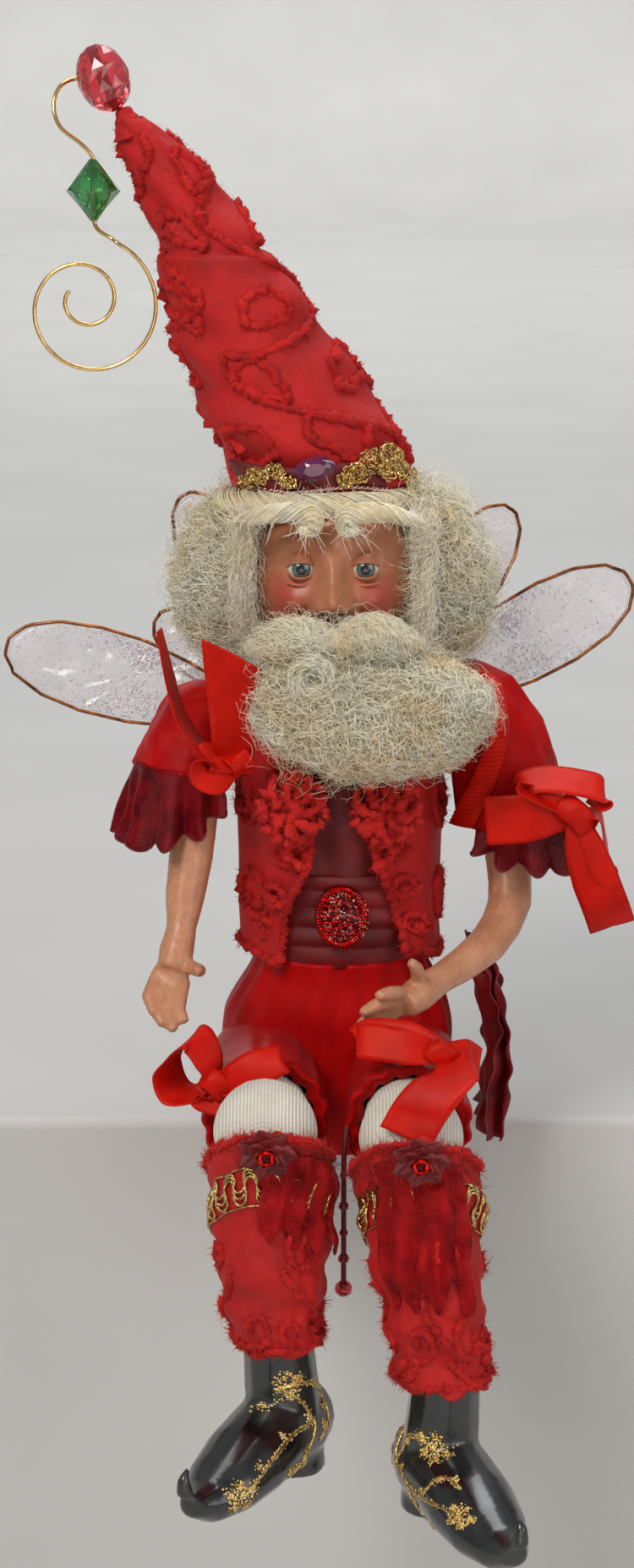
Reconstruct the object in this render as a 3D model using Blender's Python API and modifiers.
"""Seated winged gnome doll: resin head, arms and boots on a stuffed, wired cloth body.

Metres, +Z up. The origin is the centre of the seat's flat underside, the figure faces -Y,
and its own left is +X. The lower legs hang below z = 0, in front of a shelf's edge.
Tables of sections and routes are in millimetres and go through mm().
"""
import math

import bmesh
import bpy
from mathutils import Matrix, Vector

# Driving dimensions, in millimetres
GAP = 0.4              # air between neighbouring pieces
CLOTH = 0.8            # thickness of a cloth shell
RIBBON = 10.0          # width of the shoulder bow's satin ribbon
KNEE_RIBBON = 8.0      # width of the ribbon at the knees
WIRE_RADIUS = 0.5      # gold hat wire
WING_WIRE_RADIUS = 0.6
TASSEL_RADIUS = 0.6
FILM = 0.3             # thickness of a wing film
LIMB_RADIUS = 5.2      # resin forearm round the elbow
KNEE_RADIUS = 11.3
GAITER_CLEARANCE = 1.4  # from the knee to the gaiter's inside
GAITER_SLOPE = -0.78   # the gaiter's top falls this much for each step backwards
LEG_RADIUS = 15.5      # balloon leg of the shorts, round the hip axis
HEAD_RADII = (17.5, 18.5, 21.2)
HEAD_CLEARANCE = 0.9   # from the head to the hair pieces that lie on it
SPINE = (1.5, -3)      # where the spine wire stands
SPINE_CHANNEL = 1.5    # radius of the hole it runs in
SOLE_DROP = 29.0       # the boot's flat sole below the ankle
HAT_RADIUS = 20.0

# Joint centres and other driving places, in millimetres
HEAD_CENTRE = (1, -10, 135.5)
NECK_PIVOT = (0.5, -6, 117)
HAT_BEND = (-25.5, 0, 206)
GREEN_BEAD = (-51.2, -6, 220)
SPIRAL_CENTRE = (-52.8, -8, 193.5)
SPIRAL_STEPS = 38
HIP_HEIGHT = 16.0
HIP_Y = -4.0
HIP = {"r": (-14.5, HIP_Y, HIP_HEIGHT), "l": (17.5, HIP_Y, HIP_HEIGHT)}
KNEE = {"r": (-13.5, -70, 26.5), "l": (17.5, -73, 26.0)}
ANKLE = {"r": (-11, -72, -22), "l": (25, -80, -28)}
TOE_YAW = {"r": -30.0, "l": 22.0}
SHOULDER = {"r": (-26, -1, 101), "l": (31.8, -1, 103)}
ELBOW = {"r": (-29.5, -11, 86), "l": (41, -5, 71)}
WING_ROOT = {"r": (-5, 25.5, 93), "l": (9, 25.5, 93)}
OUTWARD = {"r": -1, "l": 1}

# Torso sections: x, y, z, half width, half depth
TORSO = [
    (3, 2, 46.5, 17.5, 13),
    (3, 1, 60, 18.5, 13.5),
    (3, 0, 78, 20, 14),
    (2.5, 0, 92, 20.5, 13.5),
    (2, -1, 101, 18, 11.5),
    (1, -4, 106.4, 9, 8),
]

# Wing lobes: length, half width, the loop's angle above level in degrees, and its layer
LOBES = {
    "r": {"upper": (62, 11.5, 62, 2.4), "middle": (44, 9.5, 36, 0.0), "large": (74, 13.8, 15, -2.4)},
    "l": {"upper": (62, 11.5, 56, 2.4), "middle": (42, 9.5, -14, 0.0), "large": (72, 13.8, 29, -2.4)},
}
LOBE_START = 9.0
LOBE_STEPS = 18

# The beaded drawstring leaves the left leg's hem on its inner side and hangs between the knees.
TASSEL_ROUTE = [(4.0, -57.6, 23), (3.6, -59.6, 20.5), (3.3, -60.8, 16), (3.3, -61.2, 10), (3.3, -61.2, 2),
                (3.3, -61.2, -6), (3.3, -61.2, -13)]

COLOURS = {
    "satin": ((0.72, 0.02, 0.03, 1), 0.35, 0.0),
    "red_cloth": ((0.62, 0.02, 0.02, 1), 0.85, 0.0),
    "dark_organza": ((0.28, 0.01, 0.04, 1), 0.6, 0.0),
    "hair_fibre": ((0.86, 0.80, 0.68, 1), 0.8, 0.0),
    "resin_skin": ((0.66, 0.38, 0.25, 1), 0.5, 0.0),
    "stocking": ((0.85, 0.80, 0.76, 1), 0.8, 0.0),
    "boot_resin": ((0.01, 0.012, 0.012, 1), 0.25, 0.0),
    "gold": ((0.75, 0.52, 0.18, 1), 0.3, 1.0),
    "copper": ((0.45, 0.22, 0.13, 1), 0.35, 1.0),
    "red_bead": ((0.75, 0.02, 0.04, 1), 0.1, 0.0),
    "green_bead": ((0.02, 0.25, 0.08, 1), 0.1, 0.0),
    "purple_jewel": ((0.30, 0.02, 0.12, 1), 0.1, 0.0),
    "glass_eye": ((0.35, 0.42, 0.45, 1), 0.1, 0.0),
    "wing_film": ((0.85, 0.82, 0.88, 0.4), 0.2, 0.0),
    "steel_wire": ((0.5, 0.5, 0.5, 1), 0.3, 1.0),
}


def mm(point):
    """A point given in millimetres, in metres."""
    return Vector(point) * 0.001


def clear_scene():
    for old in list(bpy.data.objects):
        bpy.data.objects.remove(old, do_unlink=True)


def new_collection(name):
    collection = bpy.data.collections.new(name)
    bpy.context.scene.collection.children.link(collection)
    return collection


def material(name):
    found = bpy.data.materials.get(name)
    if found:
        return found
    colour, roughness, metallic = COLOURS[name]
    made = bpy.data.materials.new(name)
    made.use_nodes = True
    shader = made.node_tree.nodes["Principled BSDF"]
    shader.inputs["Base Color"].default_value = colour
    shader.inputs["Roughness"].default_value = roughness
    shader.inputs["Metallic"].default_value = metallic
    shader.inputs["Alpha"].default_value = colour[3]
    return made


clear_scene()
DOLL = new_collection("winged_gnome_doll")
CUTTERS = new_collection("cutters")
PIVOTS = {}


def pivot(name, place):
    """An empty on a joint's centre, in millimetres."""
    empty = bpy.data.objects.new("pivot_" + name, None)
    empty.location = mm(place)
    DOLL.objects.link(empty)
    PIVOTS[name] = empty
    return empty


def finish_object(name, mesh_or_curve, finish, body=None, collection=None):
    """Make the object, in millimetre data scaled to metres, hung on its body's pivot."""
    piece = bpy.data.objects.new(name, mesh_or_curve)
    (collection or DOLL).objects.link(piece)
    if finish:
        mesh_or_curve.materials.append(material(finish))
    if body:
        piece.parent = PIVOTS[body]
        piece.matrix_parent_inverse = Matrix.Translation(-PIVOTS[body].location)
    return piece


def to_mesh(bm, name, smooth=True):
    bmesh.ops.scale(bm, vec=(0.001, 0.001, 0.001), verts=bm.verts)
    mesh = bpy.data.meshes.new(name)
    bm.to_mesh(mesh)
    bm.free()
    if smooth:
        mesh.shade_smooth()
        mesh.set_sharp_from_angle(angle=math.radians(40))
    return mesh


def ring_points(section, plane, sides, start=0.0, sweep=360.0):
    """Points of an elliptical section in the XY or XZ plane; 0 degrees is the figure's front or top.

    An XY section may have a sixth value, its slope: how far it rises for each step backwards.
    """
    x, y, z, half_a, half_b = section[:5]
    slope = section[5] if len(section) > 5 else 0.0
    steps = sides if sweep >= 360.0 else sides - 1
    points = []
    for index in range(sides):
        angle = math.radians(start + sweep * index / steps)
        a = half_a * math.sin(angle)
        b = half_b * math.cos(angle)
        points.append((x + a, y - b, z - b * slope) if plane == "XY" else (x + a, y, z + b))
    return points


def skin_rings(bm, rings, closed):
    """Quads between rows of points, and their vertices by row."""
    rows = [[bm.verts.new(point) for point in ring] for ring in rings]
    count = len(rows[0])
    last = count if closed else count - 1
    for low, high in zip(rows, rows[1:]):
        for index in range(last):
            follow = (index + 1) % count
            bm.faces.new((low[index], low[follow], high[follow], high[index]))
    return rows


def face_outwards(bm):
    """Turn a closed mesh's faces outwards."""
    bmesh.ops.recalc_face_normals(bm, faces=bm.faces)
    if bm.calc_volume(signed=True) < 0:
        bmesh.ops.reverse_faces(bm, faces=bm.faces)


def loft(name, sections, finish, body=None, plane="XY", sides=16, collection=None):
    """A closed solid through elliptical sections."""
    bm = bmesh.new()
    rows = skin_rings(bm, [ring_points(s, plane, sides) for s in sections], True)
    bm.faces.new(rows[0])
    bm.faces.new(rows[-1])
    face_outwards(bm)
    return finish_object(name, to_mesh(bm, name), finish, body, collection)


def shell(name, sections, finish, body=None, sides=20, start=0.0, sweep=360.0,
          thickness=CLOTH, plane="XY"):
    """A cloth shell: an open surface through sections, thickened outwards."""
    bm = bmesh.new()
    rings = [ring_points(s, plane, sides, start, sweep) for s in sections]
    skin_rings(bm, rings, sweep >= 360.0)
    centre = sum((Vector(s[:3]) for s in sections), Vector()) / len(sections)
    outward = sum(f.normal.dot(f.calc_center_median() - centre) for f in face_normals(bm))
    if outward < 0:
        bmesh.ops.reverse_faces(bm, faces=bm.faces)
    piece = finish_object(name, to_mesh(bm, name), finish, body)
    solid = piece.modifiers.new("thickness", "SOLIDIFY")
    solid.thickness = thickness * 0.001
    solid.offset = 1.0
    return piece


def face_normals(bm):
    bm.normal_update()
    return bm.faces


def grown(sections, amount):
    """The same sections with both half widths larger."""
    return [(*s[:3], s[3] + amount, s[4] + amount, *s[5:]) for s in sections]


def section_at(sections, height):
    """The section of a stacked form at one height, read between its own sections."""
    for low, high in zip(sections, sections[1:]):
        if low[2] <= height <= high[2]:
            share = (height - low[2]) / (high[2] - low[2])
            return tuple(p + (q - p) * share for p, q in zip(low, high))
    return sections[0] if height < sections[0][2] else sections[-1]


def torso_band(bottom, top, offset, steps=4):
    """Sections round the torso between two heights, a little outside it."""
    heights = [bottom + (top - bottom) * i / steps for i in range(steps + 1)]
    return grown([section_at(TORSO, height) for height in heights], offset)


def ellipsoid(name, centre, radii, finish, body=None, segments=20, rings=14, collection=None,
              turn=None, smooth=True):
    bm = bmesh.new()
    bmesh.ops.create_uvsphere(bm, u_segments=segments, v_segments=rings, radius=1.0)
    bmesh.ops.scale(bm, vec=radii, verts=bm.verts)
    if turn:
        bmesh.ops.rotate(bm, verts=bm.verts, cent=(0, 0, 0), matrix=turn)
    bmesh.ops.translate(bm, vec=centre, verts=bm.verts)
    return finish_object(name, to_mesh(bm, name, smooth), finish, body, collection)


def cylinder(name, start, end, radius, finish=None, body=None, sides=16, end_radius=None,
             collection=None, smooth=True):
    bm = bmesh.new()
    axis = Vector(end) - Vector(start)
    far = radius if end_radius is None else end_radius
    bmesh.ops.create_cone(bm, cap_ends=True, segments=sides, radius1=radius, radius2=far, depth=axis.length)
    turn = Vector((0, 0, 1)).rotation_difference(axis).to_matrix()
    bmesh.ops.rotate(bm, verts=bm.verts, cent=(0, 0, 0), matrix=turn)
    bmesh.ops.translate(bm, vec=(Vector(start) + Vector(end)) / 2, verts=bm.verts)
    return finish_object(name, to_mesh(bm, name, smooth), finish, body, collection)


def block(name, low, high, finish=None, body=None, collection=None, bevel=0.0):
    bm = bmesh.new()
    bmesh.ops.create_cube(bm, size=1.0)
    size = Vector(high) - Vector(low)
    bmesh.ops.scale(bm, vec=size, verts=bm.verts)
    bmesh.ops.translate(bm, vec=(Vector(low) + Vector(high)) / 2, verts=bm.verts)
    piece = finish_object(name, to_mesh(bm, name, False), finish, body, collection)
    if bevel:
        rounding = piece.modifiers.new("rounding", "BEVEL")
        rounding.width = bevel * 0.001
        rounding.segments = 3
    return piece


def smooth_route(points, per_span=4):
    """A Catmull-Rom curve through hand-chosen points."""
    route = [Vector(p) for p in points]
    padded = [route[0] * 2 - route[1]] + route + [route[-1] * 2 - route[-2]]
    out = []
    for index in range(1, len(padded) - 2):
        before, first, second, after = padded[index - 1:index + 3]
        for step in range(per_span):
            t = step / per_span
            out.append(0.5 * (2 * first + (second - before) * t
                              + (2 * before - 5 * first + 4 * second - after) * t ** 2
                              + (3 * first - before - 3 * second + after) * t ** 3))
    out.append(route[-1])
    return out


def taper(values, per_span):
    """Values read between hand-chosen ones, in step with smooth_route."""
    out = []
    for first, second in zip(values, values[1:]):
        out += [first + (second - first) * step / per_span for step in range(per_span)]
    return out + [values[-1]]


def tube(name, points, radius, finish, body=None, radii=None, cyclic=False, sides_level=2,
         collection=None):
    """A round tube along points; radii, one a point, are multiples of radius."""
    curve = bpy.data.curves.new(name, "CURVE")
    curve.dimensions = "3D"
    curve.bevel_depth = radius * 0.001
    curve.bevel_resolution = sides_level
    curve.use_fill_caps = not cyclic
    spline = curve.splines.new("POLY")
    spline.points.add(len(points) - 1)
    spline.use_cyclic_u = cyclic
    for index, point in enumerate(points):
        spline.points[index].co = (*mm(point), 1.0)
        spline.points[index].radius = radii[index] if radii else 1.0
    return finish_object(name, curve, finish, body, collection)


def as_mesh(piece):
    """The curve object made a welded mesh object, with the same name and parent."""
    evaluated = piece.evaluated_get(bpy.context.evaluated_depsgraph_get())
    mesh = bpy.data.meshes.new_from_object(evaluated)
    bm = bmesh.new()
    bm.from_mesh(mesh)
    bmesh.ops.remove_doubles(bm, verts=bm.verts, dist=0.00001)
    bm.to_mesh(mesh)
    bm.free()
    made = bpy.data.objects.new(piece.name + "_mesh", mesh)
    for collection in piece.users_collection:
        collection.objects.link(made)
    made.parent = piece.parent
    made.matrix_parent_inverse = piece.matrix_parent_inverse.copy()
    name = piece.name
    bpy.data.objects.remove(piece, do_unlink=True)
    made.name = name
    return made


def boolean(piece, operand, operation):
    """Cut or join with an operand, which is kept as a guide in the cutters collection."""
    operand.hide_render = True
    operand.display_type = "WIRE"
    modifier = piece.modifiers.new(operation.lower(), "BOOLEAN")
    modifier.operation = operation
    modifier.solver = "EXACT"
    modifier.object = operand
    return piece


def cut(piece, *cutters):
    for cutter in cutters:
        boolean(piece, cutter, "DIFFERENCE")
    return piece


def join(piece, *others):
    for other in others:
        boolean(piece, other, "UNION")
    return piece


def strip(name, route, across, finish, body=None, width=RIBBON, thickness=0.5, collection=None,
          widths=None):
    """A flat ribbon along a route; across is the width's direction at each point."""
    points = [Vector(p) for p in route]
    bm = bmesh.new()
    rings = []
    for index, point in enumerate(points):
        ahead = points[min(index + 1, len(points) - 1)] - points[max(index - 1, 0)]
        side = Vector(across[index] if isinstance(across[0], (tuple, Vector)) else across).normalized()
        side = (side - ahead.normalized() * side.dot(ahead.normalized())).normalized()
        normal = ahead.normalized().cross(side)
        half = (widths[index] if widths else width) / 2
        rings.append([point + side * a * half + normal * b * thickness / 2
                      for a, b in ((-1, -1), (1, -1), (1, 1), (-1, 1))])
    rows = skin_rings(bm, rings, True)
    bm.faces.new(rows[0])
    bm.faces.new(rows[-1])
    face_outwards(bm)
    return finish_object(name, to_mesh(bm, name, False), finish, body, collection)


# ---------------------------------------------------------------- torso

def make_torso():
    stuffing = loft("body_stuffing", TORSO, "red_cloth")
    cut(stuffing, cylinder("spine_channel", (*SPINE, 40), (*SPINE, 120), SPINE_CHANNEL, sides=12,
                           collection=CUTTERS))
    cylinder("spine_wire", (*SPINE, 34), (*SPINE, 106), 0.9, "steel_wire", sides=10)

    seat = loft("shorts_seat", [(2, 4, 0, 22, 17), (2, 4, 6, 27, 20), (2, 4, 18, 29, 21.5),
                                (2, 4, 30, 27, 20.5), (3, 3, 40, 21.5, 17.5), (3, 2, 46, 18, 14)],
                "satin", sides=24)
    cut(seat, cylinder("spine_socket", (*SPINE, 30), (*SPINE, 60), SPINE_CHANNEL, sides=12,
                       collection=CUTTERS))
    for side, (inner, outer) in {"r": (-0.5, -40), "l": (3.5, 44)}.items():
        x, y, z = HIP[side]
        reach = LEG_RADIUS + GAP
        low, high = sorted((inner, outer))
        cut(seat,
            cylinder("hip_pocket_" + side, (low, y, z), (high, y, z), reach, sides=32, collection=CUTTERS),
            block("hip_sweep_" + side, (low, -60, -10), (high, y + reach, z), collection=CUTTERS),
            block("hip_front_" + side, (low, -60, -10), (high, y, z + reach), collection=CUTTERS))

    shell("shirt_front", torso_band(68, 99, 0.4), "red_cloth", sides=12, start=-62, sweep=124, thickness=0.7)
    shell("sash", torso_band(47.2, 67.3, 0.4, 3), "satin", sides=24, thickness=1.1)
    coat_levels = torso_band(58, 100, 2.4, 4)
    hem = (3, 2, 47.5, 25, 18.5)
    shell("coat", [hem] + coat_levels, "red_cloth", sides=20, start=44, sweep=276, thickness=1.0)
    for name, x in (("flower_r", -8), ("flower_l", 13)):
        petals = ellipsoid(name, (x, -19, 87), (6.5, 2.8, 6.5), "red_cloth", segments=12, rings=8)
        petals.modifiers.new("edge", "BEVEL").width = 0.0002

    strip("organza_tail", smooth_route([(36.5, 6, 43), (37.5, 4, 32), (38, 2, 18), (36.5, 1, 3.0)], 3),
          (0.1, 1, 0), "dark_organza", width=24, thickness=4.5)
    block("wing_anchor", (-6, 18.4, 80), (10, 21.6, 104), "red_cloth", bevel=1.0)

    tail_route = smooth_route([(-37.5, -24, 124), (-32, -27, 110), (-21, -27, 98), (-19.5, -28, 97),
                               (-20.5, -34.5, 103), (-21.5, -39, 114), (-21.5, -39.5, 128)], 3)
    across = [(0.25, -0.95, 0.1)] * 6 + [(0.7, -0.7, 0)] * 3 + [(1, -0.1, 0)] * (len(tail_route) - 9)
    widths = [3.5] * 6 + [5, 6, 7] + [RIBBON] * (len(tail_route) - 9)
    strip("shoulder_bow", tail_route, across, "satin", widths=widths, thickness=0.8)


# ---------------------------------------------------------------- neck and head

def make_head():
    pivot("neck", (NECK_PIVOT[0], NECK_PIVOT[1], 107))
    pivot("head", NECK_PIVOT)
    x, y = NECK_PIVOT[:2]
    loft("neck_post", [(x, y, 106.9, 4.8, 4.8), (x, y, 112, 4.6, 4.6), (x, y, 117, 4.6, 4.6),
                       (x, y, 119.5, 4.0, 4.0), (x, y, 121, 2.4, 2.4)], "resin_skin", "neck")

    head = ellipsoid("head", HEAD_CENTRE, HEAD_RADII, "resin_skin", "head", 18, 12)
    hx, hy, hz = HEAD_CENTRE
    nose = loft("nose_form", [(hx, hy - 17.5, hz - 7, 2.6, 2.2), (hx, hy - 18, hz - 5, 3.2, 3.4),
                              (hx, hy - 18, hz - 1, 1.9, 2.4), (hx, hy - 17, hz + 5, 1.2, 1.2)], None,
                collection=CUTTERS, sides=12)
    join(head, nose)
    for side in "rl":
        place = (hx + OUTWARD[side] * 7.0, hy - 14.2, hz + 4.5)
        cut(head, ellipsoid("socket_" + side, place, (3.75, 3.75, 3.75), None, collection=CUTTERS,
                            segments=12, rings=8))
        ellipsoid("eye_" + side, place, (3.3, 3.3, 3.3), "glass_eye", "head", 12, 8)
    cut(head, cylinder("neck_socket", (x, y, 105), (x, y, 122.5), 8.0, end_radius=5.4, sides=24,
                       collection=CUTTERS))

    hair = ellipsoid("hair", (1, -3, 134), (36, 21, 27.5), "hair_fibre", "head", 20, 14)
    cut(hair,
        ellipsoid("head_room", HEAD_CENTRE, [r + 0.8 for r in HEAD_RADII], None, collection=CUTTERS,
                  segments=20, rings=14),
        block("face_opening", (-14.5, -40, 100), (18, -13, 170), collection=CUTTERS),
        block("beard_opening", (-60, -60, 90), (60, -18.5, 130), collection=CUTTERS),
        block("hat_opening", (-60, -60, 155.4), (60, 60, 200), collection=CUTTERS),
        block("chin_opening", (-60, -60, 90), (60, 60, 112.5), collection=CUTTERS),
        cylinder("nape_opening", (x, y, 90), (x, y, 124), 9.5, sides=24, collection=CUTTERS))

    beard = loft("beard", [(10, -33, 97.5, 8, 4), (10, -32.5, 101, 18, 7.0), (10, -32, 107, 24.5, 9.3),
                           (9, -31.5, 114, 25.5, 10), (5, -31, 119.5, 20, 9.5), (3, -31, 121.6, 15, 8.5)],
                 "hair_fibre", "head", sides=24)
    cut(beard, ellipsoid("chin_room", HEAD_CENTRE, [r + HEAD_CLEARANCE for r in HEAD_RADII], None,
                         collection=CUTTERS, segments=20, rings=14))

    whiskers = smooth_route([(-17, -31.5, 122.4), (-9, -35, 126), (1, -36.5, 127), (11, -35.5, 126),
                             (19, -32, 122.6)], 4)
    fat = [0.35 + 0.65 * math.sin(math.pi * i / (len(whiskers) - 1)) for i in range(len(whiskers))]
    lift = [(px, py - 1.2, pz + 1.6) for px, py, pz in whiskers]
    moustache = as_mesh(tube("moustache", lift, 4.2, "hair_fibre", "head", fat))
    cut(moustache,
        ellipsoid("lip_room", HEAD_CENTRE, [r + HEAD_CLEARANCE for r in HEAD_RADII], None,
                  collection=CUTTERS, segments=20, rings=14),
        loft("nose_room", [(hx, hy - 17.5, hz - 8, 4, 4), (hx, hy - 18, hz + 6, 4, 4)], None,
             collection=CUTTERS, sides=12),
        block("beard_room", (-60, -80, 90), (60, 0, 122.2), collection=CUTTERS))
    for side, span in {"r": (-15.5, -3.2), "l": (3.4, 15.5)}.items():
        outer, inner = (span[0], span[1]) if side == "r" else (span[1], span[0])
        route = smooth_route([(outer, -27.6, 149.0), ((outer + inner) / 2, -29.6, 150.6),
                              (inner, -30.6, 149.6)], 4)
        curl = [0.6 + 0.4 * math.sin(math.pi * i / (len(route) - 1)) for i in range(len(route))]
        brow = as_mesh(tube("eyebrow_" + side, route, 2.5, "hair_fibre", "head", curl))
        cut(brow, ellipsoid("brow_room_" + side, HEAD_CENTRE, [r + 0.7 for r in HEAD_RADII], None,
                            collection=CUTTERS, segments=20, rings=14))


# ---------------------------------------------------------------- hat

def make_hat():
    crown = [(-2, 0, 156, HAT_RADIUS, HAT_RADIUS), (-4.5, 0, 164, 20.4, 20.2), (-9, 0, 173, 19.6, 19.4),
             (-16, 0, 187, 17.0, 16.8), (-22.5, 0, 200, 14.6, 14.4), (-25.5, 0, 206, 13.2, 13.0)]
    shell("hat_crown", grown(crown, -1.0), "red_cloth", "head", sides=20, thickness=1.0)
    shell("hat_band", [(-2, 0, 156.2, 20.4, 20.4), (-3.2, 0, 160, 20.6, 20.6), (-4.5, 0, 164, 20.9, 20.7)],
          "satin", "head", sides=20, thickness=0.6)
    lace = [(-2.4, 0, 157.2, 21.5, 21.5), (-3.2, 0, 160, 21.7, 21.7), (-5.0, 0, 165.5, 21.9, 21.8)]
    shell("hat_lace", lace, "gold", "head", sides=20, start=-64, sweep=130, thickness=0.8)
    jewel = ellipsoid("hat_jewel", (-3, -24.6, 161.4), (5.0, 1.7, 2.7), "purple_jewel", "head", 10, 6,
                      smooth=False)
    jewel.modifiers.new("facet_edge", "BEVEL").width = 0.0001

    pivot("hat_tip", HAT_BEND)
    bx, by, bz = HAT_BEND
    peak = [(bx, by, bz - 11.6, 1.2, 1.2), (bx, by, bz - 10.4, 5.4, 5.4), (bx, by, bz - 7.4, 8.9, 8.9),
            (bx, by, bz - 3.4, 10.8, 10.8), (bx, by, bz, 11.2, 11.2), (-29.5, 0, 214, 10.2, 10.0),
            (-33.5, 0, 221, 8.6, 8.4), (-38.5, 0, 229, 6.4, 6.2), (-41.8, 0, 234, 4.6, 4.4),
            (-43, 0, 235.6, 3.0, 3.0)]
    loft("hat_peak", peak, "red_cloth", "hat_tip", sides=20)
    lean = Matrix.Rotation(math.radians(-20), 3, "Y")
    bead = ellipsoid("hat_bead", (-49, 0, 243.6), (5.8, 5.8, 8.2), "red_bead", "hat_tip", 10, 6,
                     turn=lean, smooth=False)
    cut(bead, cylinder("bead_entry", (-58, 0, 243.4), (-52, 0, 243.4), 1.1, sides=12, collection=CUTTERS))

    gx, gy, gz = GREEN_BEAD
    neck = [(-52.6, 0, 243.4), (-55.6, 0, 243.4), (-58.4, -2.4, 241.8), (-59.6, -4.4, 238),
            (-58.2, -5.5, 233.5), (-53.6, gy, 229.8), (gx, gy, gz + 7)]
    through = [Vector((gx, gy, gz + rise)) for rise in (4, 0, -4, -6.4)]
    spiral = []
    for index in range(SPIRAL_STEPS + 1):
        share = index / SPIRAL_STEPS
        angle = math.radians(66 - 640 * share)
        radius = 14.0 * (1 - share) ** 1.1 + 2.7
        drift = Vector((-1.6, 0, 3.4)) * share
        spiral.append(Vector(SPIRAL_CENTRE) + drift + Vector((math.cos(angle), 0, math.sin(angle))) * radius)
    turn_in = [(gx + 1.0, gy - 0.4, gz - 8.6), (gx + 4.0, gy - 1, gz - 10.4)]
    joinery = smooth_route([through[-1]] + turn_in + [spiral[0]], 3)[1:-1]
    tube("hat_wire", smooth_route(neck, 3) + through + joinery + spiral, WIRE_RADIUS, "gold", "hat_tip",
         sides_level=1)

    pivot("green_bead", GREEN_BEAD)
    bead = loft("green_bead", [(gx, gy, gz - 6.8, 1.7, 1.7), (gx, gy, gz - 0.5, 6.0, 6.0),
                               (gx, gy, gz + 0.5, 6.0, 6.0), (gx, gy, gz + 6.8, 1.7, 1.7)],
                "green_bead", "green_bead", sides=8)
    cut(bead, cylinder("bead_bore", (gx, gy, gz - 15), (gx, gy, gz + 15), WIRE_RADIUS + 0.35, sides=12,
                       collection=CUTTERS))


# ---------------------------------------------------------------- arms

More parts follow.
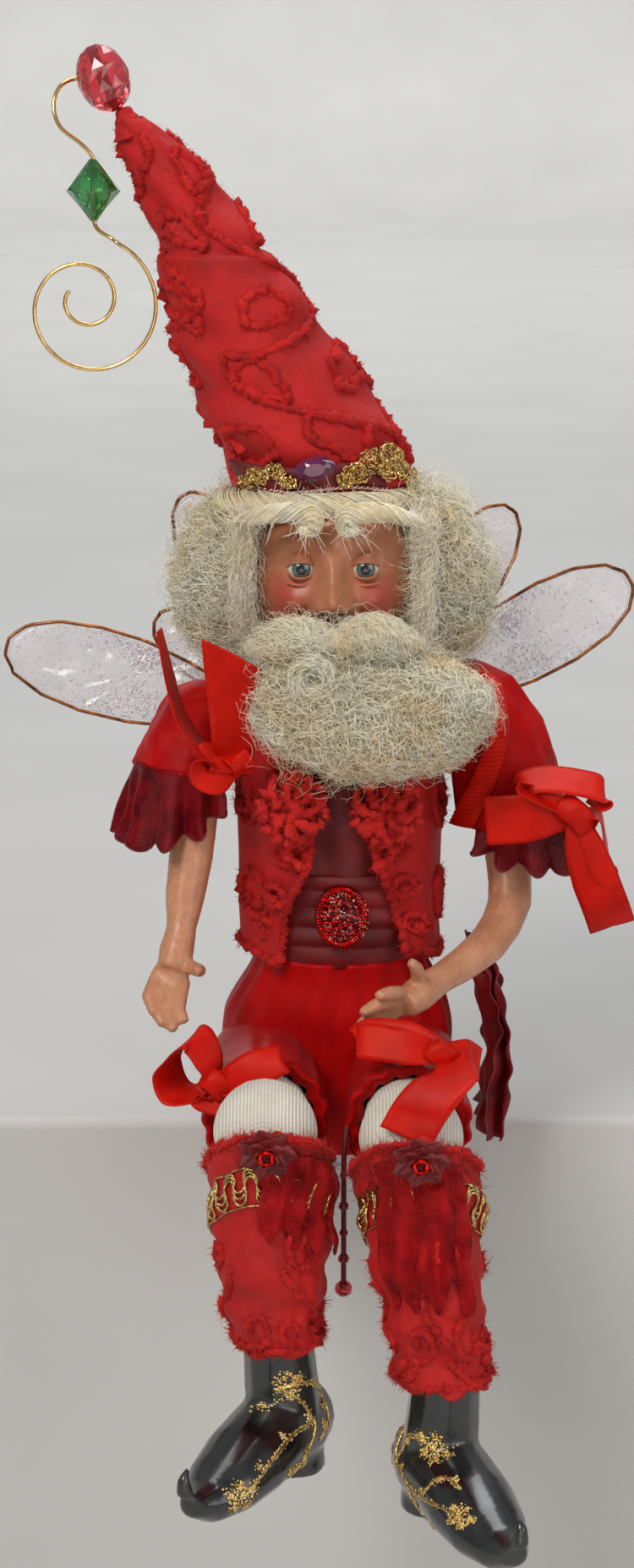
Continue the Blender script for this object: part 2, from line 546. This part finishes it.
def make_arm(side):
    out = OUTWARD[side]
    shoulder = Vector(SHOULDER[side])
    elbow = Vector(ELBOW[side])
    pivot("shoulder_" + side, shoulder)
    pivot("elbow_" + side, elbow)
    down = (elbow - shoulder).normalized()
    end = elbow - down * (LIMB_RADIUS + 0.7)
    arm_route = [shoulder, shoulder + (end - shoulder) / 2, end]
    tube("upper_arm_" + side, arm_route, 4.9, "red_cloth", "shoulder_" + side, [0.85, 1, 1],
         sides_level=4)

    # forearm: a ball round the elbow, then elbow bend, wrist and palm
    forearms = {
        "r": [(-31, -15, 72), (-32.2, -18.5, 64), (-33, -22, 57.5), (-34, -24.5, 53), (-35.2, -27, 49)],
        "l": [(41.5, -9.5, 60), (36, -18.5, 52.5), (25, -32.5, 48.8), (19.8, -39, 47.2), (16.5, -43, 46)],
    }
    route = [elbow + Vector((0, 0, rise)) for rise in (4.9, 3.8, 2.0, 0.0)]
    route += smooth_route([elbow + Vector((0, 0, -2))] + forearms[side], 2)
    widths = [0.25, 0.66, 0.92, 1.0] + taper([1.0, 1.0, 0.9, 0.68, 0.8, 0.66], 2)
    arm = as_mesh(tube("forearm_" + side, route, LIMB_RADIUS - 0.1, "resin_skin", "elbow_" + side,
                       widths, sides_level=3))
    palm = Vector(forearms[side][-1]).lerp(Vector(forearms[side][-2]), 0.55)
    fingers = {
        "r": [((-38.0, -25.5, 48), (-40.2, -30.5, 44), (-38.8, -34.5, 41.2)),
              ((-36.2, -27.5, 46), (-38.4, -32.5, 41.6), (-36.6, -35.5, 38.6)),
              ((-34.2, -28.0, 45.6), (-36.0, -33.0, 40.2), (-34.2, -35.6, 37.4)),
              ((-32.6, -27.0, 46), (-33.4, -31.5, 41.2), (-31.8, -33.6, 38.8)),
              ((-32.0, -26.0, 50), (-28.6, -31.0, 50.2), (-29.0, -34.5, 51.4))],
        "l": [((18.0, -41.1, 48.4), (13.3, -46.9, 50.0), (10.6, -50.5, 50.5)),
              ((15.5, -42.5, 47), (10.4, -47.4, 47.4), (7.0, -50.2, 46.4)),
              ((15.0, -42.0, 45.6), (9.6, -46.0, 44.6), (6.4, -48.6, 43.0)),
              ((15.6, -41.0, 44.6), (10.6, -44.4, 42.4), (8.2, -46.8, 40.6)),
              ((20.0, -39.0, 49.5), (19.4, -42.6, 54.2), (17.8, -44.2, 56.4))],
    }
    for number, line in enumerate(fingers[side]):
        finger = as_mesh(tube("finger_%s_%d" % (side, number), [palm.lerp(Vector(line[0]), 0.25)]
                              + [Vector(p) for p in line], 1.75, None, None, [1.15, 1.1, 1, 0.7],
                              collection=CUTTERS))
        join(arm, finger)

    # satin sleeve over the shoulder, open below, and an organza ruffle on its outer side
    sleeves = {
        "r": [(-25.5, -1.5, 109.0, 3.5, 4.0), (-28, -2, 106.5, 7.8, 8.2), (-30.2, -4, 100, 10.0, 11.5),
              (-32.0, -6, 92.5, 11.0, 13.2)],
        "l": [(30.5, -1, 113.5, 3.5, 4.0), (33.0, -1.5, 110.5, 7.6, 8.0), (36.6, -2.5, 101, 11.0, 11.0),
              (40.5, -4, 89, 11.5, 12.5), (42.5, -5, 79, 12.5, 13.2)],
    }
    shell("sleeve_" + side, sleeves[side], "satin", "shoulder_" + side, thickness=CLOTH)
    hem = sleeves[side][-1]
    hx, hy, hz = hem[:3]
    ruffles = {
        "r": [(hx - 1, hy, hz - 0.6, 11.6, 13.0), (hx - 3, hy, hz - 8, 13.2, 14.0),
              (hx - 3.5, hy, hz - 18, 12.6, 13.0)],
        "l": [(hx + 0.6, hy, hz - 0.6, 12.6, 13.0), (hx + 1.2, hy, hz - 5, 13.4, 13.6),
              (hx + 1.2, hy, hz - 10.5, 13.0, 13.2)],
    }
    middle = 90 * out
    shell("ruffle_" + side, ruffles[side], "dark_organza", "shoulder_" + side, sides=14,
          start=middle - 62, sweep=124, thickness=1.2)


def make_sleeve_bow():
    route = smooth_route([(34, -22.5, 84.5), (41, -23.5, 85.5), (48.5, -22.5, 86.5), (55, -25, 86),
                          (57.5, -22.5, 80), (56.5, -21, 71), (60, -20.5, 59)], 3)
    across = [(0, 0.15, 1)] * 9 + [(0.6, 0.1, 0.8)] * 3 + [(1, 0.1, 0.2)] * (len(route) - 12)
    strip("sleeve_bow", route, across, "satin", "shoulder_l", thickness=0.8)


# ---------------------------------------------------------------- legs

def make_leg(side):
    hip = Vector(HIP[side])
    knee = Vector(KNEE[side])
    pivot("hip_" + side, hip)
    pivot("knee_" + side, knee)
    body = "hip_" + side
    along = (knee - hip) / abs(knee.y - hip.y)

    def station(y, half_w, half_h, rise=0.0):
        centre = hip + along * abs(y - hip.y)
        return (centre.x, y, centre.z + rise, half_w, half_h)

    width = 13.6
    hem = knee.y + 16
    leg = cylinder("shorts_leg_" + side, (hip.x - width, hip.y, hip.z), (hip.x + width, hip.y, hip.z),
                   LEG_RADIUS, "satin", body, sides=24)
    puffs = [(hip.x, hip.y, hip.z, width, LEG_RADIUS), station(-16, width, 15.2, -1.5),
             station(-30, 13.9, 16.0, -2.0), station(-44, 13.9, 15.4, -1.5),
             station(hem + 1.5, 13.8, 14.2, -0.6), station(hem, 13.0, 13.4, -0.4)]
    balloon = loft("balloon_" + side, puffs, None, plane="XZ", sides=20, collection=CUTTERS)
    join(leg, balloon)
    socket = [station(-30, 10.4, 10.4), station(hem - 4, 10.9, 10.9)]
    cut(leg, loft("stocking_socket_" + side, socket, None, plane="XZ", sides=16, collection=CUTTERS))

    thigh = [station(-31, 9.6, 9.6), station(hem, 10.0, 10.0), station(hem - 4, 10.2, 10.2)]
    shin_dir = (Vector(ANKLE[side]) - knee).normalized()
    stocking = loft("stocking_" + side, thigh, "stocking", body, plane="XZ", sides=16)
    cap = ellipsoid("knee_form_" + side, knee, (KNEE_RADIUS,) * 3, None, collection=CUTTERS,
                    segments=16, rings=12)
    bridge = loft("knee_bridge_" + side, [station(hem - 2, 10.1, 10.1), station(knee.y, 10.5, 10.5)], None,
                  plane="XZ", sides=16, collection=CUTTERS)
    join(stocking, bridge, cap)

    # the hem's ribbon bow: a standing loop and a tail on the right, a flat loop and a tail on the left
    hx = {"r": knee.x - 12, "l": knee.x + 3}[side]
    top = knee.z + 14.8
    bows = {
        "r": [(hx - 9, hem + 0.5, top - 14), (hx - 9.5, hem + 0.5, top - 3), (hx - 4, hem + 1, top + 1),
              (hx + 2, hem + 1, top - 0.5), (hx + 9, hem + 2, top + 1.5), (hx + 16, hem + 2, top + 1.2)],
        "l": [(hx - 15, hem + 3, top + 0.4), (hx - 5, hem + 2, top + 1.6), (hx + 4, hem + 2, top + 1.8),
              (hx + 12, hem + 1.5, top - 1.5), (hx + 14.5, hem + 1, top - 9)],
    }
    across = {"r": (0.2, 1, 0), "l": (0.1, 1, 0)}[side]
    strip("knee_bow_" + side, smooth_route(bows[side], 3), across, "satin", body, width=KNEE_RIBBON,
          thickness=0.8)
    make_shin(side, knee, shin_dir)


def make_shin(side, knee, shin_dir):
    body = "knee_" + side
    ankle = Vector(ANKLE[side])
    inner = KNEE_RADIUS + GAITER_CLEARANCE

    def on_shin(drop):
        return knee + shin_dir * drop

    foot = knee.z - ankle.z - 1.0
    levels = []
    for drop, radius, slope in ((6.5, inner + 0.6, GAITER_SLOPE), (13, inner + 0.3, GAITER_SLOPE),
                                (24, inner - 0.6, GAITER_SLOPE), (36, inner - 2.0, -0.2), (foot, 9.8, 0.0)):
        levels.append((*on_shin(drop), radius, radius, slope))
    levels.reverse()
    shell("gaiter_" + side, levels, "red_cloth", body, sides=18, thickness=1.0)
    braid = [section_at(levels, knee.z - drop) for drop in (22.5, 18.0, 14.0)]
    shell("gimp_" + side, grown(braid, 1.0 + GAP), "gold", body, sides=18, thickness=0.8)
    front = on_shin(10) + Vector((0, -inner - 5.6, 11.5))
    ellipsoid("gaiter_flower_" + side, front, (6.0, 2.4, 5.4), "red_cloth", body, 12, 8)
    make_boot(side, ankle, on_shin(17.5), body)


def make_boot(side, ankle, shaft_top, body):
    """A resin boot: shaft up inside the gaiter, foot with a curled toe, block heel."""
    yaw = Matrix.Rotation(math.radians(TOE_YAW[side]), 3, "Z")

    def place(x, z):
        # x runs towards the toe, which points to -Y before the yaw
        return ankle + yaw @ Vector((0, -x, z))

    profile = [(-14.5, -19, 4, 5), (-12, -19, 7.6, 8), (-6, -19, 9.2, 9.5), (4, -19.5, 9.6, 9.4),
               (14, -21, 9.8, 8.2), (23, -22.8, 8.6, 6.4), (30, -23.6, 5.8, 4.6), (35, -22, 3.2, 2.9),
               (38, -18.4, 2.1, 2.0), (38.2, -14.8, 1.4, 1.3), (36.4, -13.0, 0.7, 0.7)]
    bm = bmesh.new()
    rings = []
    for index, (x, z, half_w, half_h) in enumerate(profile):
        before = profile[max(index - 1, 0)]
        after = profile[min(index + 1, len(profile) - 1)]
        run = Vector((0, -(after[0] - before[0]), after[1] - before[1])).normalized()
        rise = Vector((1, 0, 0)).cross(run)
        if rise.z < 0 and index < 8:
            rise = -rise
        ring = []
        for step in range(16):
            angle = 2 * math.pi * step / 16
            flat = Vector((half_w * math.sin(angle), 0, 0)) + rise * half_h * math.cos(angle)
            flat += Vector((0, -x, z))
            flat.z = max(flat.z, -SOLE_DROP)
            ring.append(ankle + yaw @ flat)
        rings.append(ring)
    rows = skin_rings(bm, rings, True)
    bm.faces.new(rows[0])
    bm.faces.new(rows[-1])
    face_outwards(bm)
    boot = finish_object("boot_" + side, to_mesh(bm, "boot"), "boot_resin", body)
    shaft = tube("shaft_" + side, [place(-3, -17), place(-1.5, -8), place(0, 3), shaft_top], 7.6, None,
                 None, [1.12, 1.08, 1.0, 0.95], sides_level=3, collection=CUTTERS)
    heel = cylinder("heel_" + side, place(-6.5, -SOLE_DROP - 1.5), place(-6.5, -22), 7.2, end_radius=6.6,
                    sides=20, collection=CUTTERS)
    join(boot, as_mesh(shaft), heel)


# ---------------------------------------------------------------- wings

def lobe_outline(length, half_width, angle, inset):
    """A paddle-shaped loop that starts near the wing root, in the wing's own plane."""
    turn = Matrix.Rotation(math.radians(angle), 2)
    points = []
    for index in range(LOBE_STEPS):
        t = 2 * math.pi * (index + 0.5) / LOBE_STEPS
        along = 0.5 * (1 - math.cos(t))
        slope = 0.5 * math.sin(t) * (length - LOBE_START)
        across = math.sin(t) * (0.45 + 0.55 * along) * half_width
        rise = (math.cos(t) * (0.45 + 0.55 * along) + math.sin(t) * 0.275 * math.sin(t)) * half_width
        edge = Vector((LOBE_START + along * (length - LOBE_START), across))
        inward = Vector((-rise, slope)).normalized() * inset
        if inward.dot(Vector((0.5 * (length + LOBE_START), 0)) - edge) < 0:
            inward = -inward
        points.append(turn @ (edge + inward))
    return points


def make_wing(side):
    root = Vector(WING_ROOT[side])
    pivot("wing_" + side, root)
    body = "wing_" + side
    lean_back = math.radians(14)

    def place(point, depth=0.0):
        u, v = point
        return root + Vector((OUTWARD[side] * u, v * math.sin(lean_back) + 0.05 * u + depth,
                              v * math.cos(lean_back)))

    wire = as_mesh(tube("wing_wire_" + side, [root + Vector((0, 0, -9)), root + Vector((0, 0, 9))], 1.6,
                        "copper", body, sides_level=1))
    for name, (length, half_width, angle, layer) in LOBES[side].items():
        loop = [place(p, layer) for p in lobe_outline(length, half_width, angle, 0.0)]
        start = Matrix.Rotation(math.radians(angle), 2) @ Vector((LOBE_START + 0.3, 0))
        twist = root + Vector((0, 0, angle / 10))
        parts = [tube("loop_%s_%s" % (name, side), loop, WING_WIRE_RADIUS, None, cyclic=True,
                      sides_level=1, collection=CUTTERS),
                 tube("stem_%s_%s" % (name, side), [twist, place(start, layer)], 0.9, None,
                      sides_level=1, collection=CUTTERS)]
        join(wire, *[as_mesh(part) for part in parts])
        film = lobe_outline(length, half_width, angle, WING_WIRE_RADIUS + 0.35)
        bm = bmesh.new()
        sheets = [[place(p, layer + face * FILM / 2) for p in film] for face in (-1, 1)]
        rows = skin_rings(bm, sheets, True)
        bm.faces.new(rows[0])
        bm.faces.new(rows[1])
        face_outwards(bm)
        node = "film_%s_%s" % (side, name)
        finish_object(node, to_mesh(bm, node, False), "wing_film", body)


def make_bead_tassel():
    route = smooth_route(TASSEL_ROUTE, 3)
    tube("bead_tassel", route, TASSEL_RADIUS, "dark_organza", "hip_l", sides_level=1)


make_torso()
make_head()
make_hat()
for each in "rl":
    make_arm(each)
    make_leg(each)
    make_wing(each)
make_sleeve_bow()
make_bead_tassel()
